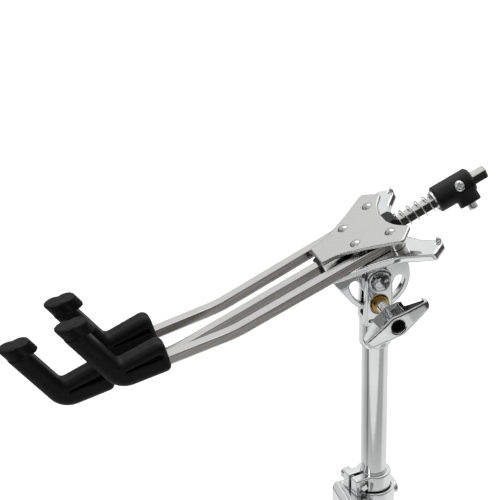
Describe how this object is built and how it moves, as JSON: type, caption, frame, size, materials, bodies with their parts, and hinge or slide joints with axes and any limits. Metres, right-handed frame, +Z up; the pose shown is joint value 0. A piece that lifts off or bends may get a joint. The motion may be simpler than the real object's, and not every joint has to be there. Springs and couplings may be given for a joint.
{
  "type": "snare drum stand",
  "caption": "Folding tripod stand for a snare drum, with a tilting basket of folded rubber-tipped arms and a spring-loaded adjusting knob.",
  "frame": {"origin": "on the axis of the tubes at floor level, under the soles of the feet", "axes": "+Z up along the tubes; -Y towards the front, where the tilter's wing nut is; +X towards the adjusting knob, so the folded arms point to -X"},
  "size_m": [0.4093, 0.4672, 0.5107],
  "materials": {
    "chrome": "polished",
    "arm_chrome": "polished, slightly uneven",
    "brushed_plate": "satin",
    "brass": "machined",
    "claw_rubber": "matte",
    "foot_rubber": "matte",
    "black_nylon": "moulded"
  },
  "bodies": {
    "base": {"base_tube": "chrome", "base_clamp": "chrome", "stay_collar": "chrome", "tube_plug": "black_nylon"},
    "clamp_wing_bolt": {"clamp_wing_bolt": "chrome"},
    "leg_collar": {"leg_collar": "chrome"},
    "collar_wing_screw": {"collar_wing_screw": "chrome"},
    "bushing": {"clamp_bushing": "black_nylon"},
    "mast": {"upper_tube": "chrome", "yoke": "chrome", "memory_lock": "chrome", "memory_lock_bolt": "chrome", "pivot_bolt": "chrome", "pivot_nut": "chrome", "brass_bushing": "brass", "clamp_bolt": "chrome"},
    "wing_nut": {"wing_nut": "chrome"},
    "hub": {"quadrant": "chrome", "hub_lower_plate": "chrome", "hub_top_plate": "brushed_plate", "guide_block": "black_nylon", "pivot_rivets": "chrome", "guide_rivets": "chrome", "arm_washers": "chrome", "adjust_spring": "chrome"},
    "side_arm_front": {"side_arm_front": "arm_chrome", "claw_front": "claw_rubber"},
    "side_arm_rear": {"side_arm_rear": "arm_chrome", "claw_rear": "claw_rubber"},
    "thrust_washer": {"thrust_washer": "chrome"},
    "centre_arm": {"centre_arm": "arm_chrome", "claw_centre": "claw_rubber"},
    "adjust_knob": {"adjust_knob": "black_nylon", "knob_screw": "chrome"},
    "release_button": {"release_button": "chrome"},
    "leg_1": {"leg_1": "chrome", "leg_rivets_1": "chrome", "foot_1": "foot_rubber"},
    "stay_1": {"stay_1": "chrome"},
    "leg_2": {"leg_2": "chrome", "leg_rivets_2": "chrome", "foot_2": "foot_rubber"},
    "stay_2": {"stay_2": "chrome"},
    "leg_3": {"leg_3": "chrome", "leg_rivets_3": "chrome", "foot_3": "foot_rubber"},
    "stay_3": {"stay_3": "chrome"}
  },
  "joints": [
    {"name": "leg_slide", "type": "slide", "parent": "base", "child": "leg_collar", "axis": [0, 0, 1], "range_m": [0, 0.11475]},
    {"name": "collar_screw_turn", "type": "hinge", "parent": "leg_collar", "child": "collar_wing_screw", "pos_m": [0.02, 0, 0.146], "axis": [1, 0, 0], "continuous": true},
    {"name": "clamp_screw_turn", "type": "hinge", "parent": "base", "child": "clamp_wing_bolt", "pos_m": [0, 0.0195, 0.2949], "axis": [1, 0, 0], "continuous": true},
    {"name": "mast_swivel", "type": "hinge", "parent": "base", "child": "bushing", "pos_m": [0, 0, 0.3064], "axis": [0, 0, 1], "continuous": true},
    {"name": "height_slide", "type": "slide", "parent": "bushing", "child": "mast", "axis": [0, 0, 1], "range_m": [0, 0.15]},
    {"name": "wing_nut_turn", "type": "hinge", "parent": "mast", "child": "wing_nut", "pos_m": [0, -0.0229, 0.4358], "axis": [0, -1, 0], "continuous": true},
    {"name": "basket_tilt", "type": "hinge", "parent": "mast", "child": "hub", "pos_m": [0, 0, 0.45], "axis": [0, -1, 0], "range_deg": [-70, 55]},
    {"name": "front_arm_fold", "type": "hinge", "parent": "hub", "child": "side_arm_front", "pos_m": [0.00402, -0.0187, 0.48109], "axis": [-0.4131, 0, 0.9107], "range_deg": [0, 129]},
    {"name": "rear_arm_fold", "type": "hinge", "parent": "hub", "child": "side_arm_rear", "pos_m": [0.00402, 0.0187, 0.48109], "axis": [0.4131, 0, -0.9107], "range_deg": [0, 129]},
    {"name": "spring_travel", "type": "slide", "parent": "hub", "child": "thrust_washer", "axis": [-0.9107, 0, -0.4131], "range_m": [0, 0.018], "stiffness_N_per_m": 450, "springref_m": -0.01, "deforming": ["adjust_spring"]},
    {"name": "size_adjust", "type": "slide", "parent": "thrust_washer", "child": "centre_arm", "axis": [0.9107, 0, 0.4131], "range_m": [0, 0.05]},
    {"name": "knob_turn", "type": "hinge", "parent": "thrust_washer", "child": "adjust_knob", "pos_m": [0.03641, 0, 0.49391], "axis": [0.9107, 0, 0.4131], "continuous": true},
    {"name": "button_press", "type": "slide", "parent": "adjust_knob", "child": "release_button", "axis": [-0.3541, 0.515, 0.7806], "range_m": [0, 0.0025], "stiffness_N_per_m": 500, "springref_m": -0.002},
    {"name": "leg_1_fold", "type": "hinge", "parent": "leg_collar", "child": "leg_1", "pos_m": [-0.025, 0, 0.146], "axis": [0, -1, 0], "range_deg": [0, 48]},
    {"name": "stay_1_fold", "type": "hinge", "parent": "base", "child": "stay_1", "pos_m": [-0.025, 0, 0.026], "axis": [0, -1, 0], "range_deg": [-48, 0]},
    {"name": "leg_2_fold", "type": "hinge", "parent": "leg_collar", "child": "leg_2", "pos_m": [0.0125, -0.02165, 0.146], "axis": [0.866, 0.5, 0], "range_deg": [0, 48]},
    {"name": "stay_2_fold", "type": "hinge", "parent": "base", "child": "stay_2", "pos_m": [0.0125, -0.02165, 0.026], "axis": [0.866, 0.5, 0], "range_deg": [-48, 0]},
    {"name": "leg_3_fold", "type": "hinge", "parent": "leg_collar", "child": "leg_3", "pos_m": [0.0125, 0.02165, 0.146], "axis": [-0.866, 0.5, 0], "range_deg": [0, 48]},
    {"name": "stay_3_fold", "type": "hinge", "parent": "base", "child": "stay_3", "pos_m": [0.0125, 0.02165, 0.026], "axis": [-0.866, 0.5, 0], "range_deg": [-48, 0]}
  ],
  "couplings": [
    {"joint": "leg_1_fold", "follows": "leg_slide", "rad_per_m": 7.3004},
    {"joint": "stay_1_fold", "follows": "leg_slide", "rad_per_m": -7.3004},
    {"joint": "leg_2_fold", "follows": "leg_slide", "rad_per_m": 7.3004},
    {"joint": "stay_2_fold", "follows": "leg_slide", "rad_per_m": -7.3004},
    {"joint": "leg_3_fold", "follows": "leg_slide", "rad_per_m": 7.3004},
    {"joint": "stay_3_fold", "follows": "leg_slide", "rad_per_m": -7.3004}
  ]
}
